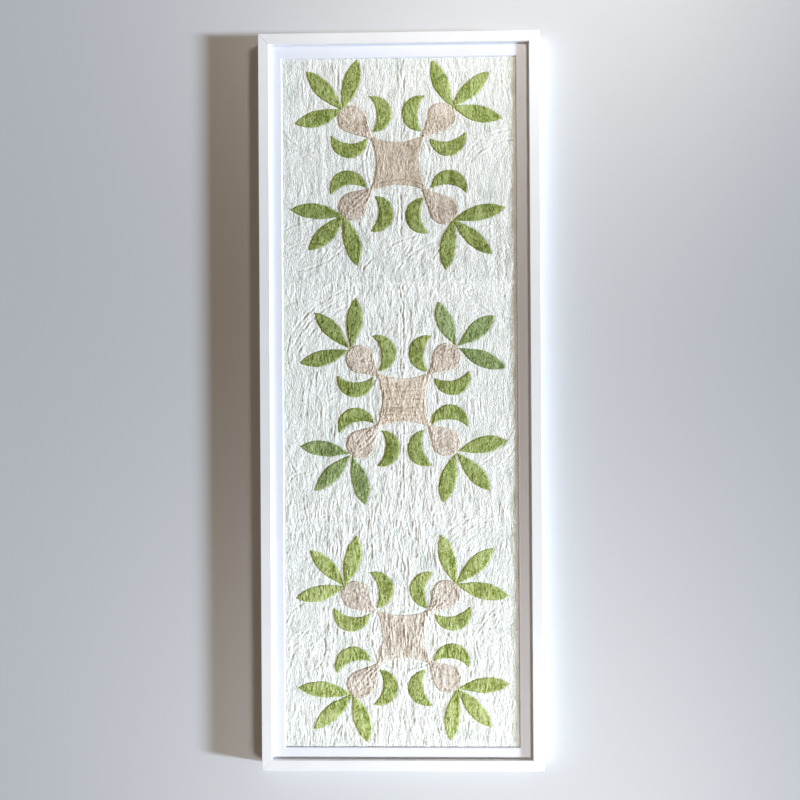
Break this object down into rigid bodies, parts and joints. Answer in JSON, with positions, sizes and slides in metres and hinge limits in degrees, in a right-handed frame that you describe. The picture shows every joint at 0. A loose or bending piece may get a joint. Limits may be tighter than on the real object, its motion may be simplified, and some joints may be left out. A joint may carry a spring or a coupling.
{
  "type": "framed applique quilt panel",
  "caption": "Long quilted panel with traditional leaf, bulb, crescent and reel patches, held behind a window mat in a plain mitred frame that lies on its back.",
  "frame": {"origin": "middle of the frame's back, on the plane that the frame lies on", "axes": "+X to the right across the width, +Y up the length of the panel, +Z out of the framed face"},
  "size_m": [0.494, 1.295, 0.032],
  "materials": {
    "frame_paint": "satin paint",
    "mat_card": "matte",
    "board": "matte",
    "ground_cotton": "matte",
    "reel_cotton": "matte",
    "bulb_cotton": "matte",
    "green_cotton": "matte"
  },
  "bodies": {
    "root": {"rail_left": "frame_paint", "rail_right": "frame_paint", "rail_bottom": "frame_paint", "rail_top": "frame_paint", "backing_board": "board", "top_ground": "ground_cotton", "middle_ground": "ground_cotton", "bottom_ground": "ground_cotton", "top_reel": "reel_cotton", "top_ne_bulb": "bulb_cotton", "top_ne_sprig": "green_cotton", "top_ne_crescent_left": "green_cotton", "top_ne_crescent_right": "green_cotton", "top_nw_bulb": "bulb_cotton", "top_nw_sprig": "green_cotton", "top_nw_crescent_left": "green_cotton", "top_nw_crescent_right": "green_cotton", "top_sw_bulb": "bulb_cotton", "top_sw_sprig": "green_cotton", "top_sw_crescent_left": "green_cotton", "top_sw_crescent_right": "green_cotton", "top_se_bulb": "bulb_cotton", "top_se_sprig": "green_cotton", "top_se_crescent_left": "green_cotton", "top_se_crescent_right": "green_cotton", "middle_reel": "reel_cotton", "middle_ne_bulb": "bulb_cotton", "middle_ne_sprig": "green_cotton", "middle_ne_crescent_left": "green_cotton", "middle_ne_crescent_right": "green_cotton", "middle_nw_bulb": "bulb_cotton", "middle_nw_sprig": "green_cotton", "middle_nw_crescent_left": "green_cotton", "middle_nw_crescent_right": "green_cotton", "middle_sw_bulb": "bulb_cotton", "middle_sw_sprig": "green_cotton", "middle_sw_crescent_left": "green_cotton", "middle_sw_crescent_right": "green_cotton", "middle_se_bulb": "bulb_cotton", "middle_se_sprig": "green_cotton", "middle_se_crescent_left": "green_cotton", "middle_se_crescent_right": "green_cotton", "bottom_reel": "reel_cotton", "bottom_ne_bulb": "bulb_cotton", "bottom_ne_sprig": "green_cotton", "bottom_ne_crescent_left": "green_cotton", "bottom_ne_crescent_right": "green_cotton", "bottom_nw_bulb": "bulb_cotton", "bottom_nw_sprig": "green_cotton", "bottom_nw_crescent_left": "green_cotton", "bottom_nw_crescent_right": "green_cotton", "bottom_sw_bulb": "bulb_cotton", "bottom_sw_sprig": "green_cotton", "bottom_sw_crescent_left": "green_cotton", "bottom_sw_crescent_right": "green_cotton", "bottom_se_bulb": "bulb_cotton", "bottom_se_sprig": "green_cotton", "bottom_se_crescent_left": "green_cotton", "bottom_se_crescent_right": "green_cotton", "window_mat": "mat_card"}
  },
  "joints": []
}
